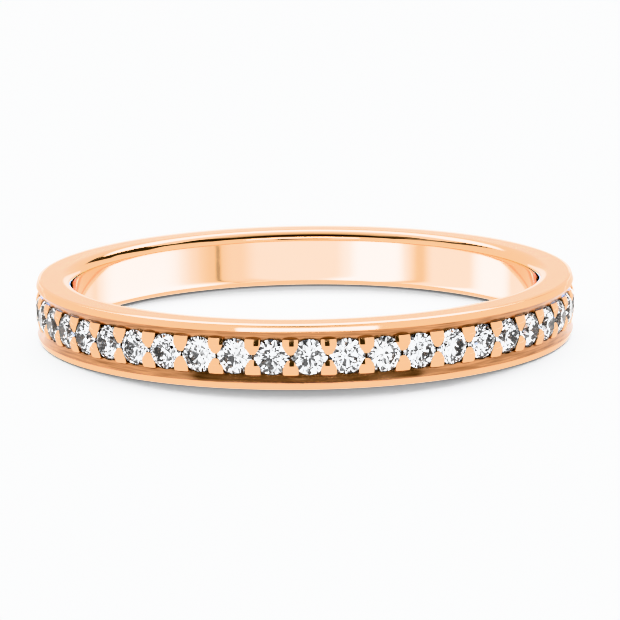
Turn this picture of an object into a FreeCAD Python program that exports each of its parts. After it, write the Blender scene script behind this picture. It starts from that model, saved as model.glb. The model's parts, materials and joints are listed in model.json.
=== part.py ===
"""Rose gold eternity band, pave set with a full row of round brilliant diamonds.

The band lies flat: its axis is Z, the origin is at the centre of the finger hole, and stone 1 faces -Y.
It is one casting with 48 seats and 96 beads, and each stone is a node of its own. Millimetres.
"""

import FreeCAD, Part
import math
import os

from FreeCAD import Vector

# Band
BORE_RADIUS = 8.75
OUTER_RADIUS = 10.1
WIDTH = 2.30
INNER_ROUND = 0.43  # comfort-fit rounding of the inner edges
OUTER_ROUND = 0.15
RAIL_EDGE = 0.87  # height above mid-width at which the outer rail ends and the bright-cut bevel starts
CHANNEL_HALF_WIDTH = 0.635
BEVEL_FOOT_RADIUS = 9.94
FLOOR_RADIUS = 9.80

# Stones
STONE_COUNT = 48
STONE_DIAMETER = 1.24
TABLE_RATIO = 0.57  # table across its corners, over the diameter
CROWN_ANGLE = 34.5
PAVILION_ANGLE = 40.9
GIRDLE_THICKNESS = 0.03
STAR_TIP_RATIO = 0.763  # radius of the star facets' tips over the girdle's radius
LOWER_HALF_RATIO = 0.23  # radius where the lower halves meet over the girdle's radius
TABLE_LEVEL = 10.15  # distance of the table from the band's axis
FACET_SPIN = 17.0  # turn from one stone to the next about its own axis

# Seats
SEAT_CLEARANCE = 0.005
PILOT_RADIUS = 0.18
PILOT_DEPTH = 0.06  # below the culet

# Beads
BEAD_TOP_RADIUS = 10.12
BEAD_ROOT_RADIUS = 9.70
BEAD_TIP_HEIGHT = 0.09  # height above mid-width of the bead's rounded tip
BEAD_TIP_ROUND = 0.18
BEAD_HALF_WIDTH = 0.26
BEAD_SHOULDER_HEIGHT = 0.44  # height above mid-width at which the bead reaches its full width
BEAD_CORNER_ROUND = 0.04
BEAD_TOP_ROUND = 0.06

PITCH = 360.0 / STONE_COUNT
FIRST_STONE_ANGLE = -90.0
GIRDLE_RADIUS = STONE_DIAMETER / 2
TABLE_RADIUS = TABLE_RATIO * GIRDLE_RADIUS
CROWN_HEIGHT = (GIRDLE_RADIUS - TABLE_RADIUS) * math.tan(math.radians(CROWN_ANGLE))
PAVILION_DEPTH = GIRDLE_RADIUS * math.tan(math.radians(PAVILION_ANGLE))
GIRDLE_LEVEL = TABLE_LEVEL - CROWN_HEIGHT  # the girdle's upper edge, from the band's axis
HALF_STEP = 180.0 / 8  # half of the angle from one main facet to the next
STAR_RADIUS = STAR_TIP_RATIO * GIRDLE_RADIUS
LOWER_RADIUS = LOWER_HALF_RATIO * GIRDLE_RADIUS
ZERO = Vector(0, 0, 0)
AXIS = Vector(0, 0, 1)


def ring_of(points):
    """A solid of revolution about Z from a closed outline of (radius, height) points and three-point arcs."""
    edges = []
    for start, middle, end in points:
        a, b = (Vector(p[0], 0, p[1]) for p in (start, end))
        if middle is None:
            edges.append(Part.LineSegment(a, b).toShape())
        else:
            edges.append(Part.Arc(a, Vector(middle[0], 0, middle[1]), b).toShape())
    face = Part.Face(Part.Wire(edges))
    return face.revolve(ZERO, AXIS, 360)


def turned(points):
    """A solid of revolution about Z from the corners of a closed straight-sided outline."""
    ends = points[1:] + points[:1]
    return ring_of([(a, None, b) for a, b in zip(points, ends)])


def arc_middle(centre, radius, angle):
    """The point of an arc at an angle in degrees, in the plane of radius and height."""
    turn = math.radians(angle)
    return centre[0] + radius * math.cos(turn), centre[1] + radius * math.sin(turn)


def band_blank():
    """The plain band: rounded edges, two polished rails, two bright-cut bevels and the channel for the stones."""
    half = WIDTH / 2
    inner_flat = half - INNER_ROUND
    outer_flat = half - OUTER_ROUND
    inner_side = BORE_RADIUS + INNER_ROUND
    outer_side = OUTER_RADIUS - OUTER_ROUND
    upper_inner = arc_middle((inner_side, inner_flat), INNER_ROUND, 135)
    lower_inner = arc_middle((inner_side, -inner_flat), INNER_ROUND, 225)
    upper_outer = arc_middle((outer_side, outer_flat), OUTER_ROUND, 45)
    lower_outer = arc_middle((outer_side, -outer_flat), OUTER_ROUND, -45)
    outline = [
        ((BORE_RADIUS, -inner_flat), None, (BORE_RADIUS, inner_flat)),
        ((BORE_RADIUS, inner_flat), upper_inner, (inner_side, half)),
        ((inner_side, half), None, (outer_side, half)),
        ((outer_side, half), upper_outer, (OUTER_RADIUS, outer_flat)),
        ((OUTER_RADIUS, outer_flat), None, (OUTER_RADIUS, RAIL_EDGE)),
        ((OUTER_RADIUS, RAIL_EDGE), None, (BEVEL_FOOT_RADIUS, CHANNEL_HALF_WIDTH)),
        ((BEVEL_FOOT_RADIUS, CHANNEL_HALF_WIDTH), None, (FLOOR_RADIUS, CHANNEL_HALF_WIDTH)),
        ((FLOOR_RADIUS, CHANNEL_HALF_WIDTH), None, (FLOOR_RADIUS, -CHANNEL_HALF_WIDTH)),
        ((FLOOR_RADIUS, -CHANNEL_HALF_WIDTH), None, (BEVEL_FOOT_RADIUS, -CHANNEL_HALF_WIDTH)),
        ((BEVEL_FOOT_RADIUS, -CHANNEL_HALF_WIDTH), None, (OUTER_RADIUS, -RAIL_EDGE)),
        ((OUTER_RADIUS, -RAIL_EDGE), None, (OUTER_RADIUS, -outer_flat)),
        ((OUTER_RADIUS, -outer_flat), lower_outer, (outer_side, -half)),
        ((outer_side, -half), None, (inner_side, -half)),
        ((inner_side, -half), lower_inner, (BORE_RADIUS, -inner_flat)),
    ]
    return ring_of(outline)


def bead():
    """One bead, above mid-width in the gap that faces +X: an arch that tapers to a rounded tip, soft on top."""
    centre_height = BEAD_TIP_HEIGHT + BEAD_TIP_ROUND
    rise = BEAD_SHOULDER_HEIGHT - centre_height
    reach = math.hypot(BEAD_HALF_WIDTH, rise)
    # the side is the tangent from the shoulder to the tip's circle
    turn = math.atan2(rise, BEAD_HALF_WIDTH) - math.acos(BEAD_TIP_ROUND / reach)
    side = BEAD_TIP_ROUND * math.cos(turn), centre_height + BEAD_TIP_ROUND * math.sin(turn)

    def at(across, height):
        return Vector(BEAD_ROOT_RADIUS, across, height)

    left_foot = at(-BEAD_HALF_WIDTH, CHANNEL_HALF_WIDTH)
    right_foot = at(BEAD_HALF_WIDTH, CHANNEL_HALF_WIDTH)
    left_shoulder = at(-BEAD_HALF_WIDTH, BEAD_SHOULDER_HEIGHT)
    right_shoulder = at(BEAD_HALF_WIDTH, BEAD_SHOULDER_HEIGHT)
    outline = Part.Wire([
        Part.LineSegment(left_foot, left_shoulder).toShape(),
        Part.LineSegment(left_shoulder, at(-side[0], side[1])).toShape(),
        Part.Arc(at(-side[0], side[1]), at(0, BEAD_TIP_HEIGHT), at(*side)).toShape(),
        Part.LineSegment(at(*side), right_shoulder).toShape(),
        Part.LineSegment(right_shoulder, right_foot).toShape(),
        Part.LineSegment(right_foot, left_foot).toShape(),
    ])
    block = Part.Face(outline).extrude(Vector(BEAD_TOP_RADIUS - BEAD_ROOT_RADIUS, 0, 0))
    upright = [e for e in block.Edges if e.BoundBox.XLength > BEAD_TOP_ROUND]
    corners = [e for e in upright if e.BoundBox.ZMin > BEAD_SHOULDER_HEIGHT - 0.001]
    block = block.makeFillet(BEAD_CORNER_ROUND, corners)
    rim = [e for e in block.Edges if e.BoundBox.XMin > BEAD_TOP_RADIUS - 0.001]
    return block.makeFillet(BEAD_TOP_ROUND, rim)


def seat_cutter():
    """What a stone's seat removes: the stone's turned envelope with clearance, and a blind pilot hole."""
    c = SEAT_CLEARANCE
    star_height = facet_height(STAR_RADIUS)
    lower_height = -GIRDLE_THICKNESS - PAVILION_DEPTH * (1 - LOWER_RADIUS * cos_half() / GIRDLE_RADIUS)
    bottom = -GIRDLE_THICKNESS - PAVILION_DEPTH - PILOT_DEPTH
    slope = (-GIRDLE_THICKNESS - lower_height) / (GIRDLE_RADIUS - LOWER_RADIUS)
    pilot_top = lower_height + (PILOT_RADIUS - LOWER_RADIUS - c) * slope - c
    return turned([
        (0, bottom),
        (PILOT_RADIUS, bottom),
        (PILOT_RADIUS, pilot_top),
        (GIRDLE_RADIUS + c, -GIRDLE_THICKNESS - c),
        (GIRDLE_RADIUS + c, c),
        (STAR_RADIUS + c, star_height + c),
        (TABLE_RADIUS + c, CROWN_HEIGHT + c),
        (0, CROWN_HEIGHT + c),
    ])


def cos_half():
    """The cosine of half the angle from one main facet to the next."""
    return math.cos(math.radians(HALF_STEP))


def facet_height(radius):
    """The height, above the girdle's upper edge, of a bezel facet's side corner at a radius."""
    return CROWN_HEIGHT * (GIRDLE_RADIUS - radius * cos_half()) / (GIRDLE_RADIUS - TABLE_RADIUS)


def corner(radius, step, height):
    """A corner of the stone, a number of half steps round its axis."""
    turn = math.radians(step * HALF_STEP)
    return Vector(radius * math.cos(turn), radius * math.sin(turn), height)


def brilliant():
    """A round brilliant along Z, girdle's upper edge at 0: 57 flat facets and a 16-sided girdle."""
    star_height = facet_height(STAR_RADIUS)
    lower_height = -GIRDLE_THICKNESS - PAVILION_DEPTH * (1 - LOWER_RADIUS * cos_half() / GIRDLE_RADIUS)
    culet = Vector(0, 0, -GIRDLE_THICKNESS - PAVILION_DEPTH)
    table = [corner(TABLE_RADIUS, step, CROWN_HEIGHT) for step in range(0, 16, 2)]
    facets = [table]
    for step in range(0, 16, 2):
        star = corner(STAR_RADIUS, step + 1, star_height)
        star_before = corner(STAR_RADIUS, step - 1, star_height)
        lower = corner(LOWER_RADIUS, step + 1, lower_height)
        lower_before = corner(LOWER_RADIUS, step - 1, lower_height)
        table_here = corner(TABLE_RADIUS, step, CROWN_HEIGHT)
        table_next = corner(TABLE_RADIUS, step + 2, CROWN_HEIGHT)
        top = [corner(GIRDLE_RADIUS, step + n, 0) for n in range(3)]
        bottom = [corner(GIRDLE_RADIUS, step + n, -GIRDLE_THICKNESS) for n in range(3)]
        facets.append([table_here, star, table_next])
        facets.append([table_here, star_before, top[0], star])
        facets.append([culet, lower, bottom[0], lower_before])
        for n in range(2):
            facets.append([star, top[n], top[n + 1]])
            facets.append([top[n], bottom[n], bottom[n + 1], top[n + 1]])
            facets.append([lower, bottom[n + 1], bottom[n]])
    faces = [Part.Face(Part.makePolygon(facet + facet[:1])) for facet in facets]
    shell = Part.makeShell(faces)
    shell.sewShape()
    solid = Part.makeSolid(shell)
    if solid.Volume < 0:
        solid.reverse()
    return solid


def set_in_band(shape, index, spin=0.0):
    """A shape from the stone's own frame, in the band at a stone's place, turned about the stone's axis."""
    placed = shape.copy()
    placed.rotate(ZERO, AXIS, spin)
    placed.rotate(ZERO, Vector(0, 1, 0), 90)
    placed.translate(Vector(GIRDLE_LEVEL, 0, 0))
    placed.rotate(ZERO, AXIS, FIRST_STONE_ANGLE + index * PITCH)
    return placed


def band():
    """The casting: the blank with its beads raised and its seats cut."""
    upper = bead()
    lower = upper.mirror(ZERO, AXIS)
    beads = []
    for index in range(STONE_COUNT):
        for one in (upper, lower):
            placed = one.copy()
            placed.rotate(ZERO, AXIS, FIRST_STONE_ANGLE + (index + 0.5) * PITCH)
            beads.append(placed)
    cutter = seat_cutter()
    seats = [set_in_band(cutter, index) for index in range(STONE_COUNT)]
    return band_blank().fuse(beads).cut(seats)


def save(shape, name):
    """Write one sub-part, and say whether it is a sound solid."""
    solids = shape.Solids
    if len(solids) != 1 or not solids[0].isValid():
        raise ValueError(f"{name} isn't one valid solid: {len(solids)} found")
    solids[0].exportStep(f"parts/{name}.step")
    print(f"{name}: {solids[0].Volume:.3f} mm3")


def main():
    os.makedirs("parts", exist_ok=True)
    save(band(), "band")
    stone = brilliant()
    for index in range(STONE_COUNT):
        save(set_in_band(stone, index, index * FACET_SPIN), f"diamond_{index + 1:02d}")


main()
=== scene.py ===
import json
import math

import bpy
from mathutils import Matrix, Vector


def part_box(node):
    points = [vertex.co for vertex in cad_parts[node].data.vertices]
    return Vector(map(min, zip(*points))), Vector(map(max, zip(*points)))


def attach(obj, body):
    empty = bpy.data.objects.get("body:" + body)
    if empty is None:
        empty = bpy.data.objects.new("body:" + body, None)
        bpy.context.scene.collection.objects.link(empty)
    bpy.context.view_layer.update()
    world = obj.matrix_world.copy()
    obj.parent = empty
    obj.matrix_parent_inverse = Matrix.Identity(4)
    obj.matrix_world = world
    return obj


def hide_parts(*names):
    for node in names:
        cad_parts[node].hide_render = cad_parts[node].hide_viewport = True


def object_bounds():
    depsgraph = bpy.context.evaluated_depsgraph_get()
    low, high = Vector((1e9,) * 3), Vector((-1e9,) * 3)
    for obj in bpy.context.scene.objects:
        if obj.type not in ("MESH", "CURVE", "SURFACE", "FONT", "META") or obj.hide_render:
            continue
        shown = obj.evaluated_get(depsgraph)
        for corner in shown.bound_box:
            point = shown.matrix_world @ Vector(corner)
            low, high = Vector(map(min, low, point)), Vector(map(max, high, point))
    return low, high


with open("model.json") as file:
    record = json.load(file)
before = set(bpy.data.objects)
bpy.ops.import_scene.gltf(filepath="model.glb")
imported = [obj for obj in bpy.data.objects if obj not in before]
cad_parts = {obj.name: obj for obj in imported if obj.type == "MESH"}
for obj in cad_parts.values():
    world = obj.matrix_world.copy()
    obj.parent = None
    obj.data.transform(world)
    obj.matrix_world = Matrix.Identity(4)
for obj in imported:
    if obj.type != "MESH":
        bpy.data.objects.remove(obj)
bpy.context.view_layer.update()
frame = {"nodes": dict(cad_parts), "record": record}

MM = 0.001

# ---------------------------------------------------------------- sizes, from the frame

BAND_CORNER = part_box("band")[1]
OUTER_RADIUS = BAND_CORNER.x
HALF_WIDTH = BAND_CORNER.z
BORE_RADIUS = next(m["dims"]["r_mm"] for m in frame["record"]["mounts"] if m["name"] == "finger_bore") * MM
STONES = sorted(name for name in frame["nodes"] if name.startswith("diamond_"))
PITCH = 2 * math.pi / len(STONES)
TABLE_LEVEL = -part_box(STONES[0])[0].y  # stone 1 faces -Y
GIRDLE_RADIUS = (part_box(STONES[0])[1].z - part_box(STONES[0])[0].z) / 2
FIRST_STONE_ANGLE = -math.pi / 2

# The band's section. Levels are distances from the axis, heights are above mid-width.
INNER_ROUND = 0.43 * MM
RAIL_BREAK = HALF_WIDTH - 0.125 * MM  # where the rail's fall towards the side of the band steepens
RAIL_FALL = 0.046 * MM  # as far as the break
SHOULDER_FALL = 0.040 * MM  # from there to the edge bevel
EDGE_BEVEL_DEPTH = 0.032 * MM  # between the rail and the side of the band
EDGE_BEVEL_REACH = 0.090 * MM
EDGE_ROUND = 0.035 * MM
RAIL_EDGE = HALF_WIDTH - 0.245 * MM
CHANNEL_HALF_WIDTH = 0.60 * MM
BEVEL_FOOT_LEVEL = OUTER_RADIUS - 0.155 * MM
FLOOR_LEVEL = OUTER_RADIUS - 0.30 * MM
BURNISHED_EDGE = 0.012 * MM  # rounding of the cut edges
RAIL_EDGE_ROUND = 0.03 * MM
TURN_STEPS = 960
SECTION_ARC_STEP = math.radians(6)
SECTION_LONGEST_SPAN = 0.12 * MM  # of the section's straight stretches

# Beads
BEAD_ROOT_LEVEL = OUTER_RADIUS - 0.40 * MM
BEAD_TOP_LEVEL = OUTER_RADIUS + 0.02 * MM
BEAD_FALL_ALONG = 0.075 * MM  # of the domed top, from its middle to its ends
BEAD_FALL_ACROSS = 0.055 * MM  # and to its sides
BEAD_BLUNTNESS = 0.25  # share of the way to the ends at which the dome turns into a steady slope
BEAD_EDGE_ROUND = 0.025 * MM
BEAD_EDGE_STEPS = ((1.0, 1.0), (0.985, 0.4), (0.96, 0.0))  # scale of the outline, share of the edge's fall
BEAD_HALF_WIDTH = 0.275 * MM
BEAD_SHOULDER_HEIGHT = 0.40 * MM
BEAD_END_HEIGHT = 0.63 * MM
BEAD_TIP_HEIGHT = -0.25 * MM  # where the two sides would meet; the tip's rounding brings it back
BEAD_TIP_ROUND = 0.21 * MM
BEAD_SIDE_ROUND = 0.12 * MM
BEAD_CORNER_ROUND = 0.04 * MM
BEAD_CENTRE_HEIGHT = 0.35 * MM
BEAD_HALF_LENGTH = 0.28 * MM
BEAD_ARC_STEP = math.radians(15)
BEAD_LONGEST_SPAN = 0.05 * MM
DOME_RINGS = 12

# Seats, which repeat the stone's turned envelope
TABLE_RADIUS = 0.57 * GIRDLE_RADIUS
CROWN_SLOPE = math.tan(math.radians(34.5))
PAVILION_SLOPE = math.tan(math.radians(40.9))
STAR_RADIUS = 0.763 * GIRDLE_RADIUS
HALF_FACET_TURN = math.pi / 8  # half of the turn from one of the stone's eight main facets to the next
GIRDLE_THICKNESS = 0.03 * MM
SEAT_CLEARANCE = 0.018 * MM
PILOT_RADIUS = 0.18 * MM
PILOT_DEPTH = 0.06 * MM
SEAT_STEPS = 96

# Finishes
# the second and third slots hold metal darkened as painted shade for the recesses
POLISHED, SHADED_CUT, SHADED_SATIN = range(3)  # in the order of the band's material slots
TOP_LIMIT = 0.5  # the cosine between a bead's face and the way out from the axis, above which it is on top
SHARP_ANGLE = math.radians(28)

# Stage
FLOOR_IN_GOLD = 1.9  # brightness of the white card where it is mirrored
FLOOR_GLOW = 0.10  # brightness that the card has of its own, everywhere
HOLE_GLOW = 0.27  # and more inside the ring, for the light that the polished inside would throw down
HOLE_RADIUS = BORE_RADIUS - 0.05 * MM
MIRRORED_AGAIN = 3.0  # brightness of the tent where it is mirrored more than once
COOLING = ((0.94, 0.80), (0.61, 1.80), (0.485, 3.30))  # red, green and blue there: start, growth a bounce
TENT_WHITE = (0.99, 0.995, 1.0, 1)
SPARKLE_CONTRAST = 1.8
BACKDROP = 3.2  # brightness of the backdrop where it is seen directly

# ---------------------------------------------------------------- mesh building


def mesh_object(name, verts, faces):
    """An object in the scene from vertices and faces."""
    mesh = bpy.data.meshes.new(name)
    mesh.from_pydata(verts, [], faces)
    mesh.update()
    made = bpy.data.objects.new(name, mesh)
    bpy.context.scene.collection.objects.link(made)
    return made


def rounded(corners, step):
    """A closed outline in which each corner (x, y, radius) is an arc, with a point for each step of turn."""
    outline = []
    for index, (x, y, radius) in enumerate(corners):
        if radius == 0:
            outline.append((x, y))
            continue
        point = Vector((x, y))
        to_last = (Vector(corners[index - 1][:2]) - point).normalized()
        to_next = (Vector(corners[(index + 1) % len(corners)][:2]) - point).normalized()
        half = to_last.angle(to_next) / 2
        centre = point + (to_last + to_next).normalized() * radius / math.sin(half)
        start = point + to_last * radius / math.tan(half) - centre
        end = point + to_next * radius / math.tan(half) - centre
        turn = -start.angle_signed(end)
        count = max(2, round(abs(turn) / step))
        for n in range(count + 1):
            spoke = Matrix.Rotation(turn * n / count, 2) @ start
            outline.append(tuple(centre + spoke))
    return outline


def divided(outline, longest):
    """The outline with points added so that no span is longer than asked."""
    points = []
    for index, start in enumerate(outline):
        end = outline[(index + 1) % len(outline)]
        count = max(1, math.ceil(math.dist(start, end) / longest))
        for n in range(count):
            share = n / count
            points.append((start[0] + (end[0] - start[0]) * share, start[1] + (end[1] - start[1]) * share))
    return points


def turned(profile, steps, closed=True):
    """Vertices and faces of a (radius, height) profile turned about Z. An open one gets flat caps."""
    count = len(profile)
    spans = count if closed else count - 1
    verts = []
    faces = []
    for step in range(steps):
        turn = 2 * math.pi * step / steps
        verts += [(r * math.cos(turn), r * math.sin(turn), z) for r, z in profile]
        here = step * count
        there = (step + 1) % steps * count
        for i in range(spans):
            j = (i + 1) % count
            faces.append((here + i, there + i, there + j, here + j))
    if not closed:
        faces.append(tuple(step * count for step in reversed(range(steps))))
        faces.append(tuple(step * count + count - 1 for step in range(steps)))
    return verts, faces


def gathered(name, parts):
    """One object from (vertices, faces, matrix) parts."""
    verts = []
    faces = []
    for part_verts, part_faces, matrix in parts:
        base = len(verts)
        verts += [tuple(matrix @ Vector(v)) for v in part_verts]
        faces += [tuple(i + base for i in face) for face in part_faces]
    return mesh_object(name, verts, faces)


def blank():
    """The band before it is set: rounded edges, rails, bright-cut bevels and the channel."""
    shoulder_level = OUTER_RADIUS - RAIL_FALL - SHOULDER_FALL
    upper = [
        (FLOOR_LEVEL, CHANNEL_HALF_WIDTH, 0),
        (BEVEL_FOOT_LEVEL, CHANNEL_HALF_WIDTH, BURNISHED_EDGE),
        (OUTER_RADIUS, RAIL_EDGE, RAIL_EDGE_ROUND),
        (OUTER_RADIUS - RAIL_FALL, RAIL_BREAK, RAIL_EDGE_ROUND),
        (shoulder_level, HALF_WIDTH - EDGE_BEVEL_DEPTH, EDGE_ROUND),
        (shoulder_level - EDGE_BEVEL_REACH, HALF_WIDTH, EDGE_ROUND),
        (BORE_RADIUS, HALF_WIDTH, INNER_ROUND),
    ]
    lower = [(level, -height, radius) for level, height, radius in reversed(upper)]
    outline = divided(rounded(lower + upper, SECTION_ARC_STEP), SECTION_LONGEST_SPAN)
    return mesh_object("band_fine", *turned(outline, TURN_STEPS))


def dome_level(across, height):
    """The level of a bead's domed top, which slopes to its ends and rounds off to its sides."""
    along = math.hypot(1, (height - BEAD_CENTRE_HEIGHT) / BEAD_HALF_LENGTH / BEAD_BLUNTNESS) - 1
    whole = math.hypot(1, 1 / BEAD_BLUNTNESS) - 1
    fall_across = BEAD_FALL_ACROSS * (across / BEAD_HALF_WIDTH) ** 2
    return BEAD_TOP_LEVEL - BEAD_FALL_ALONG * along / whole - fall_across


def bead(side):
    """Vertices and faces of the bead in the gap that faces +X, on the upper (1) or lower (-1) side."""
    corners = [
        (-BEAD_HALF_WIDTH, BEAD_END_HEIGHT, BEAD_CORNER_ROUND),
        (-BEAD_HALF_WIDTH, BEAD_SHOULDER_HEIGHT, BEAD_SIDE_ROUND),
        (0, BEAD_TIP_HEIGHT, BEAD_TIP_ROUND),
        (BEAD_HALF_WIDTH, BEAD_SHOULDER_HEIGHT, BEAD_SIDE_ROUND),
        (BEAD_HALF_WIDTH, BEAD_END_HEIGHT, BEAD_CORNER_ROUND),
    ]
    outline = divided(rounded(corners, BEAD_ARC_STEP), BEAD_LONGEST_SPAN)
    layers = [(scale, share * BEAD_EDGE_ROUND) for scale, share in BEAD_EDGE_STEPS]
    dome_scale = BEAD_EDGE_STEPS[-1][0]
    layers += [(dome_scale * (1 - n / DOME_RINGS), 0) for n in range(1, DOME_RINGS)]
    count = len(outline)
    verts = [(BEAD_ROOT_LEVEL, across, side * height) for across, height in outline]
    for scale, drop in layers:
        for across, height in outline:
            point = across * scale, BEAD_CENTRE_HEIGHT + (height - BEAD_CENTRE_HEIGHT) * scale
            verts.append((dome_level(*point) - drop, point[0], side * point[1]))
    faces = [tuple(reversed(range(count)))]
    for layer in range(len(layers)):
        base = layer * count
        for i in range(count):
            j = (i + 1) % count
            faces.append((base + i, base + j, base + count + j, base + count + i))
    last = len(layers) * count
    verts.append((BEAD_TOP_LEVEL, 0, side * BEAD_CENTRE_HEIGHT))
    faces += [(last + i, last + (i + 1) % count, last + count) for i in range(count)]
    if side < 0:
        faces = [tuple(reversed(face)) for face in faces]
    return verts, faces


def seat():
    """Vertices and faces of what a stone's seat removes, along Z, with the girdle's upper edge at 0."""
    crown = (GIRDLE_RADIUS - TABLE_RADIUS) * CROWN_SLOPE
    star = (GIRDLE_RADIUS - STAR_RADIUS * math.cos(HALF_FACET_TURN)) * CROWN_SLOPE
    culet = -GIRDLE_THICKNESS - GIRDLE_RADIUS * PAVILION_SLOPE
    gap = SEAT_CLEARANCE
    profile = [
        (PILOT_RADIUS, culet - PILOT_DEPTH),
        (PILOT_RADIUS, culet + PILOT_RADIUS * PAVILION_SLOPE - gap),
        (GIRDLE_RADIUS + gap, -GIRDLE_THICKNESS - gap),
        (GIRDLE_RADIUS + gap, gap),
        (STAR_RADIUS + gap, star + gap),
        (TABLE_RADIUS + gap, crown + gap),
    ]
    return turned(profile, SEAT_STEPS, closed=False)


def blank_finish(face):
    """The finish of a face of the blank: matt and darkened as painted shade in the channel, satin and
    darkened as painted shade on its bevels, polished elsewhere.
    """
    level = math.hypot(*face.center.xy)
    height = abs(face.center.z)
    if level < FLOOR_LEVEL - BURNISHED_EDGE or height > RAIL_EDGE:
        return POLISHED
    return SHADED_SATIN if height > CHANNEL_HALF_WIDTH else SHADED_CUT


def bead_finish(face):
    """The finish of a face of a bead: polished on top, and satin darkened as painted shade on the upright
    sides.
    """
    outward = Vector((*face.center.xy, 0)).normalized()
    return POLISHED if face.normal.dot(outward) > TOP_LIMIT else SHADED_SATIN


def fine_band(polished, shaded_cut, shaded_satin):
    """The band at full finish: the blank, with its beads raised and its seats cut."""
    band = blank()
    crown = (GIRDLE_RADIUS - TABLE_RADIUS) * CROWN_SLOPE
    into_place = Matrix.Translation((TABLE_LEVEL - crown, 0, 0)) @ Matrix.Rotation(math.pi / 2, 4, "Y")
    numbers = range(len(STONES))
    gaps = [Matrix.Rotation(FIRST_STONE_ANGLE + (n + 0.5) * PITCH, 4, "Z") for n in numbers]
    places = [Matrix.Rotation(FIRST_STONE_ANGLE + n * PITCH, 4, "Z") @ into_place for n in numbers]
    beads = gathered("beads", [(*bead(side), gap) for gap in gaps for side in (1, -1)])
    seats = gathered("seats", [(*seat(), place) for place in places])
    # the seats, the channel, its bevels and the bead sides take the two materials darkened as painted shade
    for piece, finish in ((band, blank_finish), (beads, bead_finish), (seats, lambda face: SHADED_CUT)):
        for material in (polished, shaded_cut, shaded_satin):
            piece.data.materials.append(material)
        piece.data.polygons.foreach_set("material_index", [finish(face) for face in piece.data.polygons])
    for tool, operation in ((beads, "UNION"), (seats, "DIFFERENCE")):
        change = band.modifiers.new(operation, "BOOLEAN")
        change.material_mode = "TRANSFER"
        change.object = tool
        change.operation = operation
        change.solver = "MANIFOLD"
    view = bpy.context.evaluated_depsgraph_get()
    finished = bpy.data.meshes.new_from_object(band.evaluated_get(view))
    band.modifiers.clear()
    band.data = finished
    for tool in (beads, seats):
        bpy.data.objects.remove(tool)
    finished.polygons.foreach_set("use_smooth", [True] * len(finished.polygons))
    finished.set_sharp_from_angle(angle=SHARP_ANGLE)
    return band


# ---------------------------------------------------------------- materials


def new_material(name):
    """A new material, with its node tree, its principled shader and the object's own coordinates."""
    material = bpy.data.materials.new(name)
    material.use_nodes = True
    tree = material.node_tree
    shader = next(n for n in tree.nodes if n.type == "BSDF_PRINCIPLED")
    place = tree.nodes.new("ShaderNodeTexCoord").outputs["Object"]
    return material, tree, shader, place


def noise(tree, vector, scale, detail):
    """A noise texture over a vector, as its factor output."""
    node = tree.nodes.new("ShaderNodeTexNoise")
    node.inputs["Scale"].default_value = scale
    node.inputs["Detail"].default_value = detail
    tree.links.new(vector, node.inputs["Vector"])
    return node.outputs["Fac"]


def mapped(tree, value, low, high, start=0.3, end=0.7):
    """A value from start..end mapped to low..high."""
    node = tree.nodes.new("ShaderNodeMapRange")
    node.inputs["From Min"].default_value = start
    node.inputs["From Max"].default_value = end
    node.inputs["To Min"].default_value = low
    node.inputs["To Max"].default_value = high
    tree.links.new(value, node.inputs["Value"])
    return node.outputs["Result"]


def tinted(tree, factor, first, second):
    """A colour between two others, by a factor."""
    node = tree.nodes.new("ShaderNodeMix")
    node.data_type = "RGBA"
    node.inputs["A"].default_value = (*first, 1)
    node.inputs["B"].default_value = (*second, 1)
    tree.links.new(factor, node.inputs["Factor"])
    return node.outputs["Result"]


def maths(tree, operation, *values):
    """A sum worked out in the node tree, from numbers and other outputs."""
    node = tree.nodes.new("ShaderNodeMath")
    node.operation = operation
    for slot, value in zip(node.inputs, values):
        if isinstance(value, (int, float)):
            slot.default_value = value
        else:
            tree.links.new(value, slot)
    return node.outputs[0]


def mixed(tree, share, first, second):
    """Two shaders mixed: the share is the second one's."""
    node = tree.nodes.new("ShaderNodeMixShader")
    tree.links.new(share, node.inputs["Fac"])
    tree.links.new(first, node.inputs[1])
    tree.links.new(second, node.inputs[2])
    return node.outputs["Shader"]


def gold_material():
    """High-polish rose gold: faint hand-polish waviness, and a fine variation of colour and gloss."""
    material, tree, shader, place = new_material("rose_gold_polished")
    patches = mapped(tree, noise(tree, place, scale=420, detail=3), 0, 1)
    tint = tinted(tree, patches, (0.945, 0.530, 0.265), (0.955, 0.548, 0.285))
    tree.links.new(tint, shader.inputs["Base Color"])
    gloss = mapped(tree, noise(tree, place, scale=2600, detail=4), 0.04, 0.08)
    tree.links.new(gloss, shader.inputs["Roughness"])
    shader.inputs["Metallic"].default_value = 1.0
    shader.inputs["Specular Tint"].default_value = (1.0, 0.90, 0.80, 1)
    bump = tree.nodes.new("ShaderNodeBump")
    bump.inputs["Strength"].default_value = 0.05
    bump.inputs["Distance"].default_value = 0.02 * MM
    tree.links.new(noise(tree, place, scale=900, detail=2), bump.inputs["Height"])
    tree.links.new(bump.outputs["Normal"], shader.inputs["Normal"])
    return material


def shaded_cut_material():
    """The drilled seats and the channel: matt metal, darkened as painted shade for the gaps around the
    stones and beads.
    """
    material, tree, shader, place = new_material("rose_gold_cut_painted_shade")
    grain = mapped(tree, noise(tree, place, scale=1500, detail=4), 0, 1)
    # painted shade: dark brown-grey in the seats and the channel, with a random grain between the two tones
    tint = tinted(tree, grain, (0.20, 0.13, 0.085), (0.32, 0.22, 0.15))
    tree.links.new(tint, shader.inputs["Base Color"])
    shader.inputs["Metallic"].default_value = 1.0
    shader.inputs["Roughness"].default_value = 0.45
    return material


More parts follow.
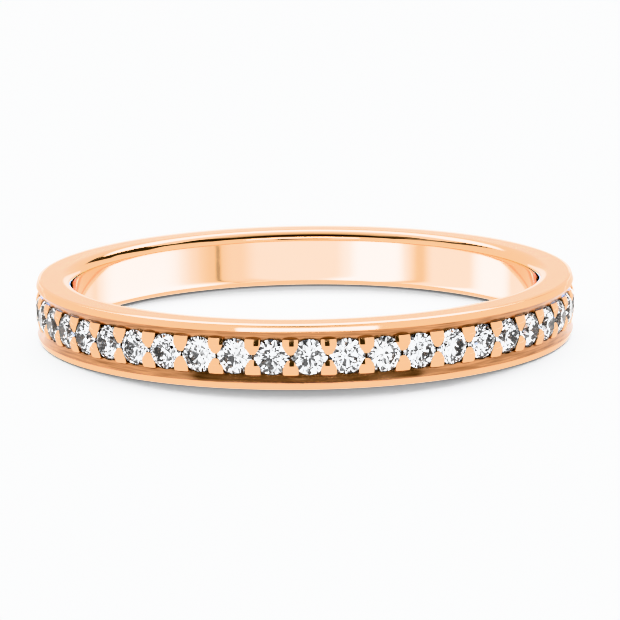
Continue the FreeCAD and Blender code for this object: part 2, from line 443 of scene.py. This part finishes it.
def shaded_satin_material():
    """The graver-cut bevels and bead sides: metal darkened as painted shade for the recess between rail and
    beads, with fine marks that run round the band.
    """
    material, tree, shader, place = new_material("rose_gold_bevel_painted_shade")
    squeezed = tree.nodes.new("ShaderNodeVectorMath")
    squeezed.operation = "MULTIPLY"
    squeezed.inputs[1].default_value = (1, 1, 22)  # makes the marks narrow along the band's axis
    tree.links.new(place, squeezed.inputs[0])
    marks = noise(tree, squeezed.outputs["Vector"], scale=900, detail=3)
    # painted shade: dark brown on the bevels and bead sides, which the marks vary between the two tones
    tint = tinted(tree, mapped(tree, marks, 0, 1), (0.24, 0.105, 0.045), (0.48, 0.24, 0.12))
    tree.links.new(tint, shader.inputs["Base Color"])
    tree.links.new(mapped(tree, marks, 0.10, 0.16), shader.inputs["Roughness"])
    shader.inputs["Metallic"].default_value = 1.0
    return material


def diamond_material():
    """Near-colourless diamond: clear, very high index, with the faintest differences between stones."""
    material, tree, shader, place = new_material("diamond_clear")
    cast = mapped(tree, noise(tree, place, scale=500, detail=1), 0, 1)
    tint = tinted(tree, cast, (0.965, 0.98, 1.0), (0.99, 0.995, 1.0))
    tree.links.new(tint, shader.inputs["Base Color"])
    shader.inputs["Roughness"].default_value = 0.0
    shader.inputs["IOR"].default_value = 2.417
    shader.inputs["Transmission Weight"].default_value = 1.0
    shader.inputs["Specular Tint"].default_value = (0.25, 0.25, 0.25, 1)
    return material


def floor_material():
    """Matt white card, evenly bright in mirrors. In the hole and through stones the tent shows instead."""
    material, tree, shader, place = new_material("white_card")
    material.cycles.emission_sampling = "NONE"
    fibres = mapped(tree, noise(tree, place, scale=30, detail=2), 0, 1)
    tint = tinted(tree, fibres, (0.88, 0.88, 0.88), (0.90, 0.90, 0.90))
    tree.links.new(tint, shader.inputs["Base Color"])
    shader.inputs["Roughness"].default_value = 0.9
    shader.inputs["Specular IOR Level"].default_value = 0.0
    shader.inputs["Emission Color"].default_value = (1, 1, 1, 1)
    reach = tree.nodes.new("ShaderNodeVectorMath")
    reach.operation = "LENGTH"
    tree.links.new(place, reach.inputs[0])
    inside = maths(tree, "LESS_THAN", reach.outputs["Value"], math.hypot(HOLE_RADIUS, HALF_WIDTH))
    glow = maths(tree, "MULTIPLY_ADD", inside, HOLE_GLOW, FLOOR_GLOW)
    tree.links.new(glow, shader.inputs["Emission Strength"])
    mirrored = tree.nodes.new("ShaderNodeEmission")
    mirrored.inputs["Strength"].default_value = FLOOR_IN_GOLD
    clear = tree.nodes.new("ShaderNodeBsdfTransparent")
    path = tree.nodes.new("ShaderNodeLightPath").outputs
    unspread = maths(tree, "LESS_THAN", path["Diffuse Depth"], 0.5)  # depths are whole, so halves part them
    inside_unspread = maths(tree, "MULTIPLY", inside, unspread)
    inside_mirror = maths(tree, "MULTIPLY", inside_unspread, path["Is Glossy Ray"])
    see_through = maths(tree, "MAXIMUM", inside_mirror, path["Is Transmission Ray"])
    card = mixed(tree, path["Is Glossy Ray"], shader.outputs["BSDF"], mirrored.outputs["Emission"])
    output = next(n for n in tree.nodes if n.type == "OUTPUT_MATERIAL")
    tree.links.new(mixed(tree, see_through, card, clear.outputs["BSDF"]), output.inputs["Surface"])
    return material


# ---------------------------------------------------------------- stage


class Studio:
    """The light tent: a dome whose brightness is built up panel by panel. Azimuth 0 is the front, -Y."""

    def __init__(self):
        world = bpy.data.worlds.new("light_tent")
        bpy.context.scene.world = world
        world.use_nodes = True
        self.tree = world.node_tree
        self.background = self.tree.nodes["Background"]
        self.ray = self.tree.nodes.new("ShaderNodeTexCoord").outputs["Generated"]
        self.light = None

    def start(self, brightness):
        """Begin a pattern with the same brightness everywhere."""
        value = self.tree.nodes.new("ShaderNodeValue")
        value.outputs[0].default_value = brightness
        self.light = value.outputs[0]

    def along(self, direction):
        """The cosine of the angle from the ray to a direction."""
        node = self.tree.nodes.new("ShaderNodeVectorMath")
        node.operation = "DOT_PRODUCT"
        node.inputs[1].default_value = direction
        self.tree.links.new(self.ray, node.inputs[0])
        return node.outputs["Value"]

    def edge(self, value, limit, softness):
        """1 below the limit, 0 above it."""
        node = self.tree.nodes.new("ShaderNodeMapRange")
        node.interpolation_type = "SMOOTHSTEP"
        node.inputs["From Min"].default_value = limit - softness
        node.inputs["From Max"].default_value = limit + softness
        node.inputs["To Min"].default_value = 1
        node.inputs["To Max"].default_value = 0
        self.tree.links.new(value, node.inputs["Value"])
        return node.outputs["Result"]

    def panel(self, azimuth, elevation, half_wide, half_tall, brightness, softness=2.0):
        """A flat rectangular light or dark card. Its place, half sizes and softness are in degrees."""
        turn, rise = math.radians(azimuth), math.radians(elevation)
        level = math.cos(rise)
        middle = Vector((math.sin(turn) * level, -math.cos(turn) * level, math.sin(rise)))
        right = Vector((math.cos(turn), math.sin(turn), 0))
        up = right.cross(middle)
        depth = maths(self.tree, "MAXIMUM", self.along(middle), 0.001)  # over 0 on the far side too
        across = maths(self.tree, "ABSOLUTE", maths(self.tree, "DIVIDE", self.along(right), depth))
        height = maths(self.tree, "ABSOLUTE", maths(self.tree, "DIVIDE", self.along(up), depth))
        soft = math.tan(math.radians(softness))
        mask = maths(
            self.tree,
            "MULTIPLY",
            self.edge(across, math.tan(math.radians(half_wide)), soft),
            self.edge(height, math.tan(math.radians(half_tall)), soft),
        )
        self.blend(mask, brightness, self.light)

    def under(self, elevation, softness):
        """A mask that is 1 under an elevation in degrees and 0 over it."""
        low, high = (math.sin(math.radians(elevation + side * softness)) for side in (-1, 1))
        return self.edge(self.along((0, 0, 1)), (low + high) / 2, (high - low) / 2)

    def above(self, elevation, brightness, softness=2.0):
        """The same brightness all round, over an elevation in degrees."""
        self.blend(self.under(elevation, softness), self.light, brightness)

    def below(self, elevation, brightness, softness=2.0):
        """The same brightness all round, under an elevation in degrees."""
        self.blend(self.under(elevation, softness), brightness, self.light)

    def blend(self, mask, where, elsewhere):
        """Take one brightness where the mask is 1 and another where it is 0."""
        mix = self.tree.nodes.new("ShaderNodeMix")
        mix.data_type = "FLOAT"
        self.tree.links.new(mask, mix.inputs["Factor"])
        for slot, value in (("A", elsewhere), ("B", where)):
            if isinstance(value, (int, float)):
                mix.inputs[slot].default_value = value
            else:
                self.tree.links.new(value, mix.inputs[slot])
        self.light = mix.outputs["Result"]

    def sparkle(self, scale, low, high):
        """The busy pattern of light and dark that shows in the stones."""
        patches = mapped(self.tree, noise(self.tree, self.ray, scale, detail=2), 0, 1, start=0.44, end=0.58)
        share = maths(self.tree, "POWER", patches, SPARKLE_CONTRAST)
        return maths(self.tree, "ADD", maths(self.tree, "MULTIPLY", share, high - low), low)

    def finish(self, on_card, in_gold, in_stones):
        """Light the card with one pattern, and show others in mirrors, through the stones and directly."""
        tree = self.tree
        path = tree.nodes.new("ShaderNodeLightPath").outputs
        reflected = maths(tree, "SUBTRACT", path["Is Glossy Ray"], path["Is Transmission Ray"])
        again = maths(tree, "MULTIPLY", reflected, maths(tree, "GREATER_THAN", path["Glossy Depth"], 1.5))
        self.light = on_card
        self.blend(path["Is Glossy Ray"], in_gold, self.light)
        self.blend(path["Is Transmission Ray"], in_stones, self.light)
        self.blend(again, MIRRORED_AGAIN, self.light)
        self.blend(path["Is Camera Ray"], BACKDROP, self.light)
        colour = tree.nodes.new("ShaderNodeMix")
        colour.data_type = "RGBA"
        colour.inputs["A"].default_value = TENT_WHITE
        tree.links.new(self.cooler(path), colour.inputs["B"])
        tree.links.new(again, colour.inputs["Factor"])
        tree.links.new(colour.outputs["Result"], self.background.inputs["Color"])
        tree.links.new(self.light, self.background.inputs["Strength"])

    def cooler(self, path):
        """A colour that cools with each bounce off gold, so that deep reflections don't turn red."""
        tree = self.tree
        gold_only = maths(tree, "LESS_THAN", path["Transmission Depth"], 0.5)
        past_second = maths(tree, "SUBTRACT", path["Glossy Depth"], 2.0)
        bounces = maths(tree, "MULTIPLY_ADD", past_second, gold_only, 1.0)
        colour = tree.nodes.new("ShaderNodeCombineColor")
        for slot, (start, growth) in zip(colour.inputs, COOLING):
            tree.links.new(maths(tree, "MULTIPLY", maths(tree, "POWER", growth, bounces), start), slot)
        return colour.outputs["Color"]


def card_light(studio):
    """What lights the card: an even dome, and a key light high behind with a dimmer one above it."""
    studio.start(0.6)
    studio.panel(180, 60, 35, 11, 5.5, 3)
    studio.panel(180, 44, 35, 7, 50.0, 2)
    return studio.light


def mirrored_tent(studio):
    """What the polished metal mirrors: bright low walls under a dark hood, with lights and dark cards."""
    studio.start(1.9)
    studio.above(36, 0.38, 2)
    studio.above(50, 0.9, 3)
    # dark cards, for the dark line along the inner edge at the back
    studio.panel(0, 58.5, 42, 12, 0.02, 2)
    studio.panel(80, 52, 20, 9, 0.02, 2)
    studio.panel(115, 39, 22, 11.5, 0.04, 2)
    studio.panel(136, 30, 15, 8, 0.04, 2)
    studio.panel(-80, 54, 18, 5, 0.10, 2)
    studio.panel(-112, 42, 18, 6, 0.15, 2)
    # lights and a dark card, for the bright and dark streaks along the front
    studio.panel(180, 78, 40, 10, 3.0, 2)
    studio.panel(180, 52, 30, 12, 27.0, 3)
    studio.panel(180, 4.5, 30, 4.2, 8.0, 1)
    studio.panel(0, 30.2, 27, 2.2, 30.0, 1)
    studio.panel(0, 17.5, 14, 8.0, 0.05, 2)
    # under the card's level, where only the inside of the band mirrors it
    studio.below(0, 7.0, 1)
    studio.below(-62, 1.3, 4)
    # to the right, for the left part of the inside: a dark bar and a glow
    studio.panel(44, -30, 17, 28, 3.2, 6)
    studio.panel(47, -30, 6, 28, 1.8, 5)
    studio.panel(44.8, -30, 1.6, 28, 0.62, 1)
    studio.panel(97, -30, 40, 28, 5.0, 7)
    studio.panel(96, -30, 32, 28, 15.0, 9)
    studio.panel(95, -32, 24, 24, 42.0, 9)
    # to the left, for the right part of the inside: a glow, a dark bar and another glow
    studio.panel(-37, -30, 17, 28, 14.0, 5)
    studio.panel(-39, -30, 12.5, 28, 40.0, 4)
    studio.panel(-63, -30, 5, 28, 1.8, 4)
    studio.panel(-116, -32, 20, 26, 7.0, 8)
    studio.panel(-113, -30, 13, 28, 34.0, 7)
    return studio.light


def light_tent():
    """The world: one pattern for the card, one for the mirrors and one for the stones."""
    studio = Studio()
    on_card = card_light(studio)
    in_gold = mirrored_tent(studio)
    studio.finish(on_card, in_gold, studio.sparkle(2.6, 0.10, 3.4))


def white_floor():
    """The pale surface that the ring lies on."""
    half = 1.0  # metre each way
    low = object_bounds()[0][2]
    corners = [(-half, -half, low), (half, -half, low), (half, half, low), (-half, half, low)]
    floor = mesh_object("floor", corners, [(0, 1, 2, 3)])
    floor.data.materials.append(floor_material())


def camera():
    """Close to level, seen over the front of the band, as a product photograph."""
    distance = 10.0 * OUTER_RADIUS
    azimuth = math.radians(-0.76)
    elevation = math.radians(11.28)
    roll = math.radians(0.79)
    level = math.cos(elevation)
    back = Vector((math.sin(azimuth) * level, -math.cos(azimuth) * level, math.sin(elevation)))
    lens = bpy.data.cameras.new("camera")
    lens.sensor_width = 36.0
    lens.lens = 155.0
    lens.shift_x = 0.0081
    lens.shift_y = -0.0158
    lens.clip_start = 0.001
    lens.clip_end = 10.0
    eye = bpy.data.objects.new("camera", lens)
    eye.matrix_world = (
        Matrix.Translation(back * distance)
        @ back.to_track_quat("Z", "Y").to_matrix().to_4x4()
        @ Matrix.Rotation(-roll, 4, "Z")
    )
    bpy.context.scene.collection.objects.link(eye)
    bpy.context.scene.camera = eye


# ---------------------------------------------------------------- assembly

gold = gold_material()
diamond = diamond_material()

fine = fine_band(gold, shaded_cut_material(), shaded_satin_material())
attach(fine, "root")
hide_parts("band")

for name in STONES:
    stone = frame["nodes"][name]
    for slot in stone.material_slots:
        slot.material = diamond

white_floor()
light_tent()
camera()

scene = bpy.context.scene
scene.view_settings.view_transform = "Khronos PBR Neutral"
scene.cycles.max_bounces = 20
scene.cycles.transmission_bounces = 20
scene.cycles.glossy_bounces = 4
scene.cycles.caustics_reflective = False
